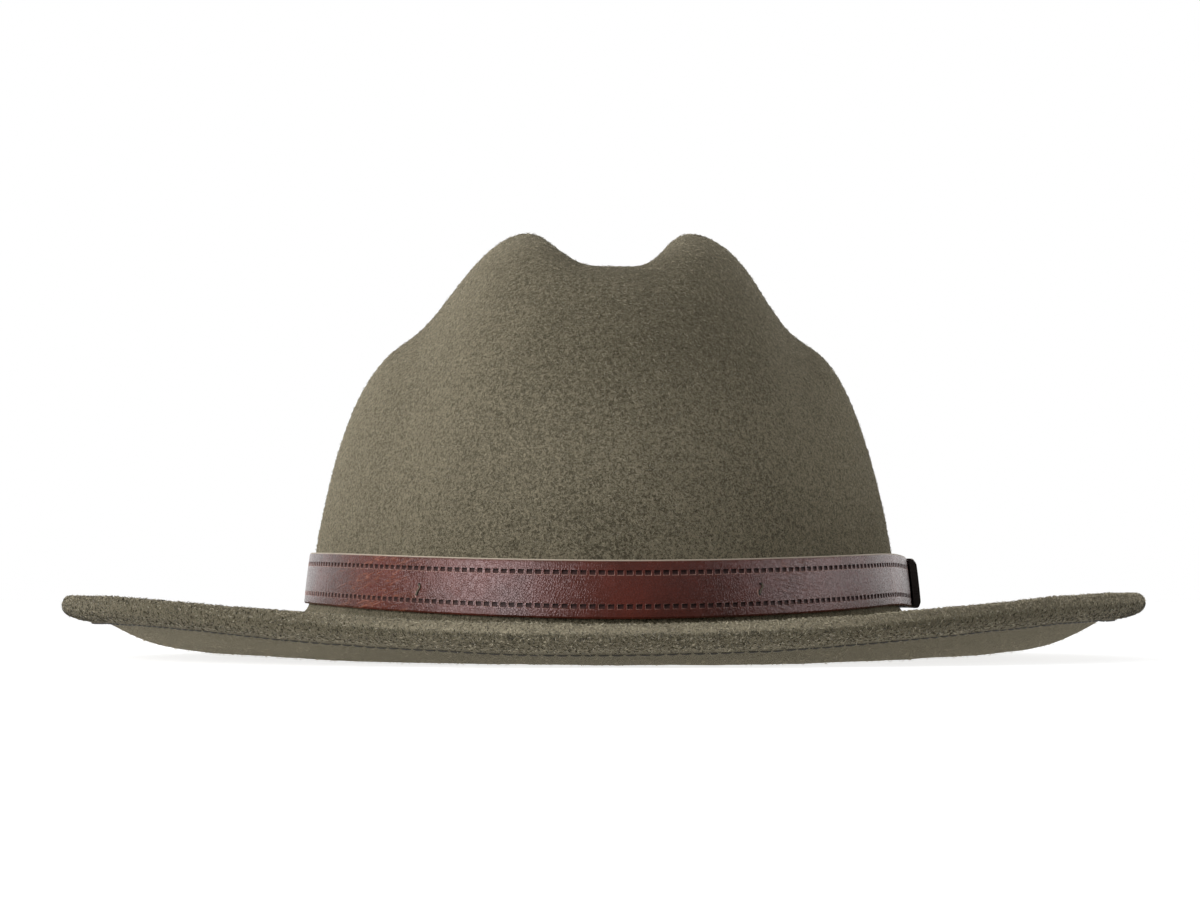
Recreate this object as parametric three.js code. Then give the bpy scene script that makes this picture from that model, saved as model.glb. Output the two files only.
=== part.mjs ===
import * as THREE from 'three';

// A felt hat with a creased crown, a stitched turned-under brim edge and a leather band.
// Millimetres. Z is up, the front of the hat looks along -Y and +X is the wearer's left.
// Angles go round the hat: 0 at the front, 90 at the wearer's left, 180 at the back.

// Head oval, measured on the outside of the felt at the foot of the crown
const crownHalfWidth = 86.2;
const crownHalfLength = 102;
const frontRoundness = 1.86;
const backRoundness = 2.1;

// Crown: the open dome before it is creased
const crownFootHeight = 8;
const crownHeight = 118;
const domeSpread = 3;
const backFullness = 0.4;
const domeRise = 0.625;
const feltThickness = 2.6;

// Crown: the lengthwise crease between the two ridges
const creaseDepth = 25.8;
const creaseCentreX = 0.4;
const creaseHalfWidth = 15.8;
const creaseSharpness = 3;
const creaseFrontStart = -82;
const creaseFrontFull = 10;
const creaseBackFull = 30;
const creaseBackEnd = 84;
const creaseReach = 0.42;

// Crown: the long dent on each side, below the ridge. centre, innerWidth and outerWidth run across.
const dents = {
  right: { depth: 12.2, centre: 52, innerWidth: 15.6, outerWidth: 14 },
  left: { depth: 11.6, centre: 53, innerWidth: 12.4, outerWidth: 11.6 },
};
const dentCentreY = -4;
const dentHalfLength = 60;

// Brim
const sideRestAngle = 13;
const rimLiftLeft = 7.9;
const rimLiftRight = 7.2;
const rimTwist = 3;
const frontCurlSpread = 1.4;
const backCurlSpread = 1;
const backDip = 1.3;

// Band
const bandClearance = 0.4;
const bandFrontBottom = 11.7;
const bandFrontTop = 27.3;
const bandBottomLift = 4.1;
const bandTopLift = 3.1;

// Fineness of the shells
const segments = 60;

// Heights on the upright wall where the crown has a ring, from the brim up
const wallHeights = [18, 27, 37, 47, 57, 66];

// Rings over the top of the crown, each as a share of the head oval's width
const topShares = [0.855, 0.83, 0.8, 0.765, 0.72, 0.67, 0.61, 0.55, 0.48, 0.4, 0.33, 0.27, 0.22, 0.17, 0.12, 0.06];

// Brim section, from the crown out along the top, round the folded edge and back along the underside.
// out: distance outside the head oval. height: above the surface at front and back.
// lift: how much higher the ring is at the sides. curl: share of that lift that follows the rim's curl.
const brimRows = [
  { name: 'break', out: -0.25, height: 10, lift: 5, curl: 0 },
  { name: 'flare upper', out: 1.4, height: 7, lift: 6.2, curl: 0 },
  { name: 'flare lower', out: 4.4, height: 4.8, lift: 6, curl: 0 },
  { name: 'flare end', out: 10, height: 3.3, lift: 4.2, curl: 0 },
  { name: 'flat inner', out: 21, height: 2.8, lift: 2, curl: 0 },
  { name: 'flat outer', out: 37, height: 2.8, lift: 2.2, curl: 0 },
  { name: 'dish lower', out: 46, height: 3.4, lift: 3.8, curl: 0.5 },
  { name: 'dish middle', out: 53, height: 5, lift: 5.9, curl: 0.85 },
  { name: 'dish upper', out: 60, height: 7.5, lift: 7.5, curl: 1 },
  { name: 'edge inner', out: 65, height: 9.7, lift: 7.5, curl: 1 },
  { name: 'fold top', out: 68, height: 10.9, lift: 7.5, curl: 1 },
  { name: 'fold high', out: 70.1, height: 10, lift: 7.5, curl: 1 },
  { name: 'fold middle', out: 70.8, height: 7.9, lift: 7.5, curl: 1 },
  { name: 'fold low', out: 70, height: 5.9, lift: 7.5, curl: 1 },
  { name: 'fold bottom', out: 67.8, height: 4.8, lift: 7.5, curl: 1 },
  { name: 'welt middle', out: 64, height: 3.7, lift: 7.5, curl: 1 },
  { name: 'welt edge', out: 60.9, height: 2.7, lift: 7.5, curl: 1 },
  { name: 'welt root', out: 60.2, height: 4.4, lift: 7.5, curl: 1 },
  { name: 'under upper', out: 55.5, height: 2.7, lift: 6.5, curl: 0.92 },
  { name: 'under middle', out: 48, height: 0.9, lift: 4.3, curl: 0.55 },
  { name: 'rest outer', out: 37, height: 0, lift: 2.2, curl: 0 },
  { name: 'rest inner', out: 21, height: 0, lift: 2, curl: 0 },
  { name: 'under inner', out: 8, height: 0.7, lift: 3.9, curl: 0 },
  { name: 'opening low', out: 1.4, height: 2.4, lift: 5.4, curl: 0 },
  { name: 'opening high', out: -1.6, height: 5.6, lift: 5.6, curl: 0 },
];

// Where the band leaves the felt, near its lapped ends at the wearer's left.
// standOff: from the felt to the inner face. drop: how far it hangs below its line.
const bandRows = [
  { angle: 98, standOff: 3.9, thickness: 1.1, drop: 1.3 },
  { angle: 94, standOff: 3.9, thickness: 1.1, drop: 1.3 },
  { angle: 90, standOff: 3.7, thickness: 1.1, drop: 1.2 },
  { angle: 86, standOff: 3.1, thickness: 1.1, drop: 1 },
  { angle: 82, standOff: 2.3, thickness: 1.1, drop: 0.8 },
  { angle: 78, standOff: 1.5, thickness: 1.1, drop: 0.5 },
  { angle: 74, standOff: 0.9, thickness: 1.1, drop: 0.2 },
  { angle: 66, standOff: bandClearance, thickness: 1.1, drop: 0 },
  { angle: -234, standOff: bandClearance, thickness: 1.1, drop: 0 },
  { angle: -240, standOff: 0.8, thickness: 1.1, drop: 0.3 },
  { angle: -248, standOff: 2.3, thickness: 1.1, drop: 0.7 },
  { angle: -254, standOff: 4, thickness: 1.1, drop: 1.1 },
  { angle: -260, standOff: 5.3, thickness: 1.3, drop: 1.3 },
  { angle: -266, standOff: 5.6, thickness: 1.8, drop: 1.4 },
  { angle: -270, standOff: 5.5, thickness: 2.2, drop: 1.5 },
];
const bandLapStep = 2;

const degrees = Math.PI / 180;

function signedPower(value, power) {
  return Math.sign(value) * Math.abs(value) ** power;
}

function smoothStep(from, to, value) {
  const share = Math.min(Math.max((value - from) / (to - from), 0), 1);
  return share * share * (3 - 2 * share);
}

function roundnessAt(along) {
  return along < 0 ? frontRoundness : backRoundness;
}

// A point on the head oval, shrunk to a share of it and moved out along its normal
function ovalPoint(angle, share, out) {
  const across = Math.sin(angle * degrees);
  const along = -Math.cos(angle * degrees);
  const roundness = roundnessAt(along);
  const x = signedPower(across, 2 / roundness);
  const y = signedPower(along, 2 / roundness);
  const normal = new THREE.Vector2(
    signedPower(x, roundness - 1) / crownHalfWidth,
    signedPower(y, roundness - 1) / crownHalfLength,
  ).normalize();
  return {
    x: crownHalfWidth * x * share + normal.x * out,
    y: crownHalfLength * y * share + normal.y * out,
  };
}

// The dome stands fuller towards the back
function spreadAt(y) {
  return domeSpread + backFullness * Math.max(y / crownHalfLength, 0) ** 2;
}

function domeHeight(x, y) {
  const roundness = roundnessAt(y);
  const reach = Math.abs(x / crownHalfWidth) ** roundness + Math.abs(y / crownHalfLength) ** roundness;
  return crownFootHeight + crownHeight * (1 - reach ** (spreadAt(y) / roundness)) ** domeRise;
}

// The share of the head oval that the dome has at a height, at an angle round the hat
function domeShare(angle, height) {
  const risen = Math.max(height - crownFootHeight, 0) / crownHeight;
  return (1 - risen ** (1 / domeRise)) ** (1 / spreadAt(ovalPoint(angle, 1, 0).y));
}

// How far the crease and the side dents push the top of the crown down
function creaseAt(x, y) {
  const front = smoothStep(creaseFrontStart, creaseFrontFull, y);
  const back = 1 - smoothStep(creaseBackFull, creaseBackEnd, y);
  const across = Math.abs(x - creaseCentreX) / creaseHalfWidth;
  return creaseDepth * front * back * Math.exp(-(across ** creaseSharpness));
}

function sideDentAt(x, y) {
  const dent = x > 0 ? dents.left : dents.right;
  const fromCentre = Math.abs(x) - dent.centre;
  const width = fromCentre < 0 ? dent.innerWidth : dent.outerWidth;
  const along = Math.exp(-(((y - dentCentreY) / dentHalfLength) ** 4));
  return dent.depth * along * Math.exp(-((fromCentre / width) ** 2));
}

// Rings near the top close in on the crease's line instead of on one point
function crownPoint(angle, share) {
  const foot = ovalPoint(angle, 1, 0);
  const x = foot.x * share + creaseCentreX * (1 - share);
  const y = foot.y * (share + creaseReach * (1 - share) ** 2);
  return new THREE.Vector3(x, y, domeHeight(x, y) - creaseAt(x, y) - sideDentAt(x, y));
}

// A point on the upright wall, below the dents
function wallPoint(angle, height) {
  const { x, y } = ovalPoint(angle, domeShare(angle, height), 0);
  return new THREE.Vector3(x, y, height - sideDentAt(x, y));
}

// Share of a ring's lift at an angle: the brim bows up towards the sides and its rim curls
function sideBow(angle) {
  const flat = Math.sin(sideRestAngle * degrees) ** 2;
  return Math.max(Math.sin(angle * degrees) ** 2 - flat, 0) / (1 - flat);
}

function rimCurl(angle) {
  const turned = Math.abs(Math.asin(Math.sin((angle + rimTwist) * degrees)));
  const spread = Math.cos(angle * degrees) > 0 ? frontCurlSpread : backCurlSpread;
  const reach = Math.min(turned * spread, Math.PI / 2);
  const left = Math.sin(angle * degrees) > 0;
  const strength = (left ? rimLiftLeft : rimLiftRight) / ((rimLiftLeft + rimLiftRight) / 2);
  return strength * Math.sin(reach) ** 2;
}

function brimPoint(row, angle) {
  const { x, y } = ovalPoint(angle, 1, row.out);
  const lift = row.lift * (row.curl * rimCurl(angle) + (1 - row.curl) * sideBow(angle));
  const dip = backDip * row.curl ** 2 * Math.max(-Math.cos(angle * degrees), 0) ** 2;
  return new THREE.Vector3(x, y, row.height + lift - dip);
}

function makeRing(pointAt) {
  return Array.from({ length: segments }, (unused, step) => pointAt((step * 360) / segments));
}

// Closes an end ring with rungs between its left and right halves
function rungs(start, facingUp) {
  const triangles = [];
  for (let step = 0; step < segments / 2; step += 1) {
    const left = start + step;
    const leftNext = left + 1;
    const right = start + ((segments - step) % segments);
    const rightNext = start + segments - step - 1;
    if (leftNext !== rightNext) triangles.push([left, leftNext, rightNext]);
    if (left !== right) triangles.push([left, rightNext, right]);
  }
  return triangles.flatMap((corners) => (facingUp ? corners : corners.toReversed()));
}

// Joins rings of points into one closed shell, with rungs across the first and the last
function closedShell(rings) {
  const lastRing = (rings.length - 1) * segments;
  const indices = [...rungs(0, true), ...rungs(lastRing, false)];
  for (let here = 0; here < lastRing; here += segments) {
    const below = here + segments;
    for (let step = 0; step < segments; step += 1) {
      const next = (step + 1) % segments;
      indices.push(here + step, below + step, below + next);
      indices.push(here + step, below + next, here + next);
    }
  }
  return shellGeometry(rings.flat(), indices);
}

function shellGeometry(points, indices) {
  const geometry = new THREE.BufferGeometry();
  geometry.setFromPoints(points);
  geometry.setIndex(indices);
  geometry.computeVertexNormals();
  return geometry;
}

// The crown's rings from the top down to the brim, outside face
function crownRings() {
  const top = topShares.toReversed().map((share) => makeRing((angle) => crownPoint(angle, share)));
  const wall = wallHeights.toReversed().map((height) => makeRing((angle) => wallPoint(angle, height)));
  return [...top, ...wall];
}

// Moves rings in by the felt's thickness, square to the surface that they make
function insideOf(rings) {
  const shell = closedShell(rings);
  const position = shell.getAttribute('position');
  const normal = shell.getAttribute('normal');
  return rings.map((ring, row) => ring.map((unused, step) => {
    const index = row * segments + step;
    const inward = new THREE.Vector3().fromBufferAttribute(normal, index).multiplyScalar(-feltThickness);
    return inward.add(new THREE.Vector3().fromBufferAttribute(position, index));
  }));
}

function feltBody() {
  const outside = crownRings();
  const brim = brimRows.map((row) => makeRing((angle) => brimPoint(row, angle)));
  const inside = insideOf([...outside, brim[0]]).slice(0, -1).toReversed();
  return closedShell([...outside, ...brim, ...inside]);
}

// Reads one column of the band's table at an angle between its rows
function bandValue(angle, column) {
  const after = Math.max(bandRows.findIndex((row) => row.angle <= angle), 1);
  const from = bandRows[after - 1];
  const to = bandRows[after];
  return THREE.MathUtils.mapLinear(angle, from.angle, to.angle, from[column], to[column]);
}

function bandAngles() {
  const first = bandRows[0].angle;
  const last = bandRows.at(-1).angle;
  const angles = [];
  let angle = first;
  while (angle > last) {
    angles.push(angle);
    const onFelt = bandValue(angle, 'standOff') === bandClearance;
    angle -= onFelt ? 360 / segments : bandLapStep;
  }
  return [...angles, last];
}

// Six corners of the strap's section at an angle, lying along the crown's wall
function bandSection(angle) {
  const side = Math.sin(angle * degrees) ** 2;
  const drop = bandValue(angle, 'drop');
  const inner = bandValue(angle, 'standOff');
  const outer = inner + bandValue(angle, 'thickness');
  const bottom = bandFrontBottom + bandBottomLift * side - drop;
  const top = bandFrontTop + bandTopLift * side - drop;
  const middle = (bottom + top) / 2;
  const corner = (height, out) => {
    const { x, y } = ovalPoint(angle, domeShare(angle, height), out);
    return new THREE.Vector3(x, y, height);
  };
  return [
    corner(bottom, inner),
    corner(middle, inner),
    corner(top, inner),
    corner(top, outer),
    corner(middle, outer),
    corner(bottom, outer),
  ];
}

function leatherBand() {
  const sections = bandAngles().map(bandSection);
  const corners = sections[0].length;
  const indices = [];
  for (let row = 0; row < sections.length - 1; row += 1) {
    for (let corner = 0; corner < corners; corner += 1) {
      const next = (corner + 1) % corners;
      const here = row * corners;
      const ahead = here + corners;
      indices.push(here + corner, ahead + next, here + next);
      indices.push(here + corner, ahead + corner, ahead + next);
    }
  }
  const start = [[0, 1, 5], [1, 4, 5], [1, 2, 4], [2, 3, 4]];
  const end = (sections.length - 1) * corners;
  indices.push(...start.flat());
  indices.push(...start.flatMap((triangle) => triangle.toReversed().map((corner) => end + corner)));
  return shellGeometry(sections.flat(), indices);
}

function addPiece(group, name, geometry, finish) {
  const mesh = new THREE.Mesh(geometry, new THREE.MeshStandardMaterial(finish));
  mesh.name = name;
  group.add(mesh);
}

const hat = new THREE.Group();
addPiece(hat, 'felt_body', feltBody(), { color: 0x585142, roughness: 0.95, metalness: 0 });
addPiece(hat, 'leather_band', leatherBand(), { color: 0x4f3128, roughness: 0.4, metalness: 0 });

export default hat;
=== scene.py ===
import math
from contextlib import contextmanager

import bpy
import numpy as np
from mathutils import Matrix, Vector


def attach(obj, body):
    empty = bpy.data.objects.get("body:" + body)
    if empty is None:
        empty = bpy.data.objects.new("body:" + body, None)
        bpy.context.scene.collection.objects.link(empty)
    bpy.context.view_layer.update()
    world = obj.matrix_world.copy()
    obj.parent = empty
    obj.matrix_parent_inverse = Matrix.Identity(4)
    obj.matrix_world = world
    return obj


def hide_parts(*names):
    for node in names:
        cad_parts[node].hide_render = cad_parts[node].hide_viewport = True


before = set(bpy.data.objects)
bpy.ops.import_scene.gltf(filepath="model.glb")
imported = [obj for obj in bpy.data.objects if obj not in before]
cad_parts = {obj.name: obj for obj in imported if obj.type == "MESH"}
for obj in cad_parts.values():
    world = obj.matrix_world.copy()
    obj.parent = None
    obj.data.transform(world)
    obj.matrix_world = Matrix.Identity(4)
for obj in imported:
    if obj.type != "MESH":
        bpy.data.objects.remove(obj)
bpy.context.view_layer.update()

bl_info = {
    "name": "Felt Hat",
    "version": (1, 0, 0),
    "blender": (4, 5, 0),
    "location": "View3D > Sidebar > Felt Hat",
    "description": "Builds a creased felt hat with a pressed leather band around its frame",
    "category": "Add Mesh",
}

MM = 0.001

# The crown, as the frame has it
CROWN_HALF_WIDTH = 86.2 * MM
CROWN_HALF_LENGTH = 102 * MM
FRONT_ROUNDNESS = 1.86
BACK_ROUNDNESS = 2.1
CROWN_FOOT = 8 * MM
CROWN_HEIGHT = 118 * MM
DOME_SPREAD = 3
BACK_FULLNESS = 0.4
DOME_RISE = 0.625
MIDDLE_RADIUS = (CROWN_HALF_WIDTH + CROWN_HALF_LENGTH) / 2

CREASE_DEPTH = 25.8 * MM
CREASE_CENTRE = 0.4 * MM
CREASE_HALF_WIDTH = 15.8 * MM
CREASE_SHARPNESS = 3
CREASE_FRONT = (-82 * MM, 10 * MM)
CREASE_BACK = (30 * MM, 84 * MM)
DENT_CENTRE_ALONG = -4 * MM
DENT_HALF_LENGTH = 60 * MM
# Columns: depth, then centre, inner width and outer width across, in mm, for the hat's left and right
DENTS = ((11.6, 53, 12.4, 11.6), (12.2, 52, 15.6, 14))

# The seam of the turned-under edge, out from the head oval, and the angles at which it is followed
SEAM_OUT = 61.6 * MM
SEAM_ANGLES = np.arange(0, 360, 0.5)

# The felt's zones, each from where it starts to where it is full. Out from the head oval, in m
BRIM_STARTS = 0.002
BRIM_NAP_STARTS = (0.001, 0.004)
BRIM_NAP_ENDS = (0.056, 0.064)
EDGE_STARTS = (0.058, 0.064)
EDGE_WEAR_AND_HIGHLIGHT_STARTS = (0.054, 0.066)
# Out from the edge's seam, in m
EDGE_SIDE_STARTS = (0.0015, 0.0045)
SHADED_SIDE_STARTS = (0, 0.002)
# Up from the floor, in m
CROWN_NAP_STARTS = (0.03, 0.033)
RIDGE_HIGHLIGHT_STARTS = (0.112, 0.12)
# Across the hat from its middle, in m
SIDES_START = (0.03, 0.1)
SHADED_SIDES_START = (0.03, 0.09)
SHADED_RIGHT_STARTS = (0.04, 0.1)
# Where the painted shade on the edge's top at the hat's right gives way
RIGHT_SHADE_ENDS = (-0.12, -0.05)
LEFT_RIDGE_STARTS = (0, 0.02)
# How far the felt's skin faces up, from -1 to 1
UPPER_SKIN = (-0.05, 0.35)
EDGE_WEAR_AND_HIGHLIGHT_SKIN = (-0.2, 0.3)
SHADED_SKIN = (-0.15, 0.3)
TOP_SKIN = (0.85, 0.98)
SIDE_TOP_SKIN = (0.75, 0.95)
DOWNWARD_SKIN = (0.4, 0.8)
# The outer skin is the one that faces away from a point inside the hat at the first height. Above the second
# height, and out to this share of the head oval, it is brought onto the crown's curve
INSIDE_HEIGHT = 0.03
SETTLED_ABOVE = 0.06
SETTLED_SHARE = (0.7, 0.84)
# Columns: strength, middle across and up, half-width across and up, of the painted highlight patch and the
# painted shade patch on the crown's front
LIT_PATCH = (0.2, -0.02, 0.055, 0.045, 0.025)
SHADED_PATCH = (0.6, 0.022, 0.09, 0.036, 0.026)

# Smallest and largest share of a loose fibre's size, and what its turn and its size add to the seed
FIBRE_SIZES = (0.45, 1.25)
TURN_SEED = 20
SIZE_SEED = 40
STITCH_SEED = 11

# The point that the lamps face
HAT_MIDDLE = Vector((0, 0, 0.06))

# The band's line on the crown, as the frame has it
BAND_BOTTOM = 11.7 * MM
BAND_TOP = 27.3 * MM
BAND_BOTTOM_LIFT = 4.1 * MM
BAND_TOP_LIFT = 3.1 * MM
BAND_HEIGHT = BAND_TOP - BAND_BOTTOM
STRAP_THICKNESS = 0.0011
# As shares of the strap's height, how far out its edges and its end's corners begin to round, and the
# share of its thickness that the edges lose
ROUNDED_EDGE = 0.47
EDGE_ROUNDING = 0.28
ROUNDED_CORNER = 0.36
# Columns: angle round the hat, stand-off from the felt, thickness and drop in mm
BAND_PATH = (
    (98, 3.9, 1.1, 1.3),
    (94, 3.9, 1.1, 1.3),
    (90, 3.7, 1.1, 1.2),
    (86, 3.1, 1.1, 1),
    (82, 2.3, 1.1, 0.8),
    (78, 1.5, 1.1, 0.5),
    (74, 0.9, 1.1, 0.2),
    (66, 0.4, 1.1, 0),
    (-234, 0.4, 1.1, 0),
    (-240, 0.8, 1.1, 0.3),
    (-248, 2.3, 1.1, 0.7),
    (-254, 4, 1.1, 1.1),
    (-260, 5.3, 1.3, 1.3),
    (-266, 5.6, 1.8, 1.4),
    (-270, 5.5, 2.2, 1.5),
)


def linear(red, green, blue):
    """A colour seen on a screen, 0 to 255, as the linear light that a shader takes."""
    return tuple(((part / 255 + 0.055) / 1.055) ** 2.4 for part in (red, green, blue))


def colour_property(name, place, shade):
    return bpy.props.FloatVectorProperty(
        name=name, description="Colour of " + place, default=shade, subtype="COLOR",
        size=3, min=0, max=1,
    )


def number_property(name, description, default, **more):
    return bpy.props.FloatProperty(name=name, description=description, default=default, **more)


def length_property(name, description, default):
    return number_property(name, description, default, unit="LENGTH", min=0, precision=5)


def angle_property(name, description, degrees):
    return number_property(name, description, math.radians(degrees), subtype="ANGLE")


class FeltSettings(bpy.types.PropertyGroup):
    """Sizes and colours of the felt."""

    wool: colour_property("Wool", "most of the felt", linear(106, 99, 80))
    # Deep wool also colours the felt's painted shade, and pale wool its pale wear and painted highlights
    deep_wool: colour_property("Deep wool", "the gaps between the fibres", linear(50, 46, 33))
    pale_wool: colour_property("Pale wool", "the lightest fibres", linear(166, 157, 134))
    # The groove colour is painted shadow along the edge seam
    groove_shadow: colour_property("Groove", "the edge seam's groove", linear(44, 40, 29))
    seam_width: length_property("Seam width", "Half the width of the edge seam's groove", 0.0018)
    seam_wander: length_property("Seam wander", "How far the seam's line wanders", 0.0005)
    unevenness: length_property("Unevenness", "How far the felt's surface wanders", 0.0005)
    grain_depth: length_property("Grain depth", "Depth of the felt's grain", 0.0008)
    fibre_length: length_property("Fibre length", "Length of one loose fibre", 0.0013)
    fibre_width: length_property("Fibre width", "Width of one loose fibre", 0.00013)
    tuft_length: length_property("Tuft length", "Length of one tuft on the brim's edge", 0.001)
    tuft_width: length_property("Tuft width", "Width of one tuft on the brim's edge", 0.00022)
    crown_fibres: number_property("Crown fibres", "Loose fibres on a square metre of crown", 330000)
    brim_fibres: number_property("Brim fibres", "Loose fibres on a square metre of brim", 220000)
    edge_fibres: number_property("Edge fibres", "Loose fibres on a square metre of edge", 1900000)
    seed: bpy.props.IntProperty(name="Seed", description="Start of the random scatter", default=7)


class SeamSettings(bpy.types.PropertyGroup):
    """Sizes and colour of the stitches along the turned-under edge."""

    thread: colour_property("Thread", "the edge thread", linear(44, 40, 29))
    stitch_length: length_property("Stitch length", "Length of one stitch", 0.0034)
    stitch_sway: length_property("Stitch sway", "How far a stitch lies off the seam's line", 0.0002)
    thread_width: length_property("Thread width", "Width of the thread", 0.0008)


class BandSettings(bpy.types.PropertyGroup):
    """Sizes and colours of the leather band."""

    leather: colour_property("Leather", "most of the leather", linear(92, 38, 26))
    dark_leather: colour_property("Dark leather", "the darker areas", linear(50, 22, 14))
    worn_leather: colour_property("Worn leather", "the fine creases", linear(176, 112, 82))
    # The cut edge colour is partly the raw edge's own and partly painted highlight
    cut_edge_and_highlight: colour_property("Cut edge", "the band's top edge", linear(184, 172, 154))
    # The end edge colour is partly dark edge paint and partly painted shade
    end_edge_paint_and_shade: colour_property("End edge", "the lapped end", linear(26, 22, 17))
    gloss: colour_property("Gloss", "the leather's shine", (1, 0.8, 0.82))
    # The pit colour is painted shade in the pressed marks
    pit: colour_property("Pit", "the bottom of the marks", linear(20, 10, 8))
    # The lip colour is painted highlight: on each mark's lit lip and on the pale strand beside each tack
    lip: colour_property("Lip", "the raised lips of the marks", linear(198, 158, 146))
    mark_pitch: length_property("Mark pitch", "From one pressed mark to the next", 0.00248)
    mark_length: length_property("Mark length", "Length of one pressed mark", 0.00195)
    mark_height: length_property("Mark height", "Height of one pressed mark", 0.00155)
    mark_depth: length_property("Mark depth", "How deep a mark is pressed", 0.0004)
    lip_width: length_property("Lip width", "Width of the lip round a mark", 0.00011)
    lower_row: number_property("Lower row", "Height of the lower marks", 0.205, subtype="FACTOR")
    upper_row: number_property("Upper row", "Height of the upper marks", 0.78, subtype="FACTOR")
    tack_thread: colour_property("Tack thread", "the tacks", linear(104, 94, 78))
    # The tack hole colour is painted shade
    tack_hole_shade: colour_property("Tack hole", "the tacks' holes", linear(24, 14, 11))


class StageSettings(bpy.types.PropertyGroup):
    """Floor, lights and camera."""

    floor: colour_property("Floor", "the floor", (0.57, 0.57, 0.57))
    floor_glow: number_property("Floor glow", "Light that comes up through the lit floor", 0.78)
    camera_distance: length_property("Camera distance", "From the camera to the hat's middle", 1.026)
    camera_height: length_property("Camera height", "Height of the camera above the floor", 0.0167)
    camera_lens: number_property("Camera lens", "Focal length", 105.03, unit="CAMERA")
    camera_turn: angle_property("Camera turn", "Angle of the camera round the hat", 3)
    camera_tilt: angle_property("Camera tilt", "How far the camera looks up", 2.453)
    camera_swing: angle_property("Camera swing", "How far the camera looks left of the middle", 0.0556)
    sky_front: number_property("Front light", "Strength of the room's light from the front", 0.27)
    sky_back: number_property("Back light", "Strength of the room's light from behind", 1.3)
    key_power: number_property("Key light", "Power of the soft light at the left", 19, unit="POWER")
    fill_power: number_property("Fill light", "Power of the soft light at the right", 7.5, unit="POWER")
    lamp_width: length_property("Lamp width", "Width of each soft light", 0.9)
    top_strength: number_property("Top light", "Strength of the soft light overhead", 0.1)
    top_spread: angle_property("Top light spread", "How wide the light overhead looks", 100)


def shade_sum(operation):
    return lambda first, second: first.sum(operation, first, second)


class Shade:
    """One value in a finish, so that a finish's sums read as plain sums."""

    def __init__(self, recipe, socket):
        self.recipe = recipe
        self.socket = socket

    def sum(self, operation, first, second=0.0):
        return self.recipe.node("ShaderNodeMath", {0: first, 1: second}, operation=operation)

    __add__ = shade_sum("ADD")
    __sub__ = shade_sum("SUBTRACT")
    __mul__ = shade_sum("MULTIPLY")
    __truediv__ = shade_sum("DIVIDE")

    def __rsub__(self, other):
        return self.sum("SUBTRACT", other, self)

    def size(self):
        return self.sum("ABSOLUTE", self)

    def held(self):
        """The value kept between 0 and 1."""
        return self.recipe.node("ShaderNodeClamp", {"Value": self})

    def over(self, low, high):
        """0 where the value is low or less, 1 where it is high or more."""
        values = {"Value": self, "From Min": low, "From Max": high}
        return self.recipe.node("ShaderNodeMapRange", values)


class Recipe:
    """A node tree, filled one node at a time."""

    def __init__(self, tree):
        self.tree = tree
        tree.nodes.clear()

    def node(self, kind, values=None, output=0, **settings):
        node = self.tree.nodes.new(kind)
        for name, value in settings.items():
            setattr(node, name, value)
        for name, value in (values or {}).items():
            if isinstance(value, Shade):
                self.tree.links.new(value.socket, node.inputs[name])
            else:
                node.inputs[name].default_value = value
        return Shade(self, node.outputs[output] if node.outputs else None)

    def place(self):
        return self.node("ShaderNodeTexCoord", output="Object")

    def noise(self, vector, scale, detail=2.0, roughness=0.5, distortion=0.0):
        values = {"Vector": vector, "Scale": scale, "Detail": detail, "Roughness": roughness}
        return self.node("ShaderNodeTexNoise", {**values, "Distortion": distortion})

    def mapped(self, vector, kind, turn, stretch=(1, 1, 1)):
        """The vector turned and stretched: kind POINT does it to the vector, TEXTURE to the pattern."""
        values = {"Vector": vector, "Rotation": turn, "Scale": stretch}
        return self.node("ShaderNodeMapping", values, vector_type=kind)

    def lines(self, pattern, fineness):
        """Thin lines where a noise passes its middle value."""
        return (1 - (pattern - 0.5).size() * fineness).held()

    def creases(self, vector, slope, fineness):
        """Long thin lines that run at a slope."""
        fold = self.mapped(vector, "TEXTURE", (0, 0, slope), (11, 1, 1))
        return self.lines(self.noise(fold, 820, distortion=0.5), fineness)

    def blend(self, share, first, second):
        """Goes from the first colour to the second as share goes from 0 to 1."""
        colours = [c if isinstance(c, Shade) else (*c, 1) for c in (first, second)]
        values = {0: share, 6: colours[0], 7: colours[1]}
        return self.node("ShaderNodeMix", values, 2, data_type="RGBA")

    def layered(self, colour, layers):
        """Lays each colour over the ones before it by its share, from 0 to 1."""
        for share, layer in layers:
            colour = self.blend(share, colour, layer)
        return colour

    def attribute(self, name):
        return self.node("ShaderNodeAttribute", output="Fac", attribute_name=name)

    def bump(self, height, distance):
        return self.node("ShaderNodeBump", {"Height": height, "Distance": distance})

    def surface(self, values):
        shader = self.node("ShaderNodeBsdfPrincipled", values)
        self.node("ShaderNodeOutputMaterial", {"Surface": shader})


def new_finish(name):
    material = bpy.data.materials.new(name)
    material.use_nodes = True
    return material, Recipe(material.node_tree)


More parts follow.
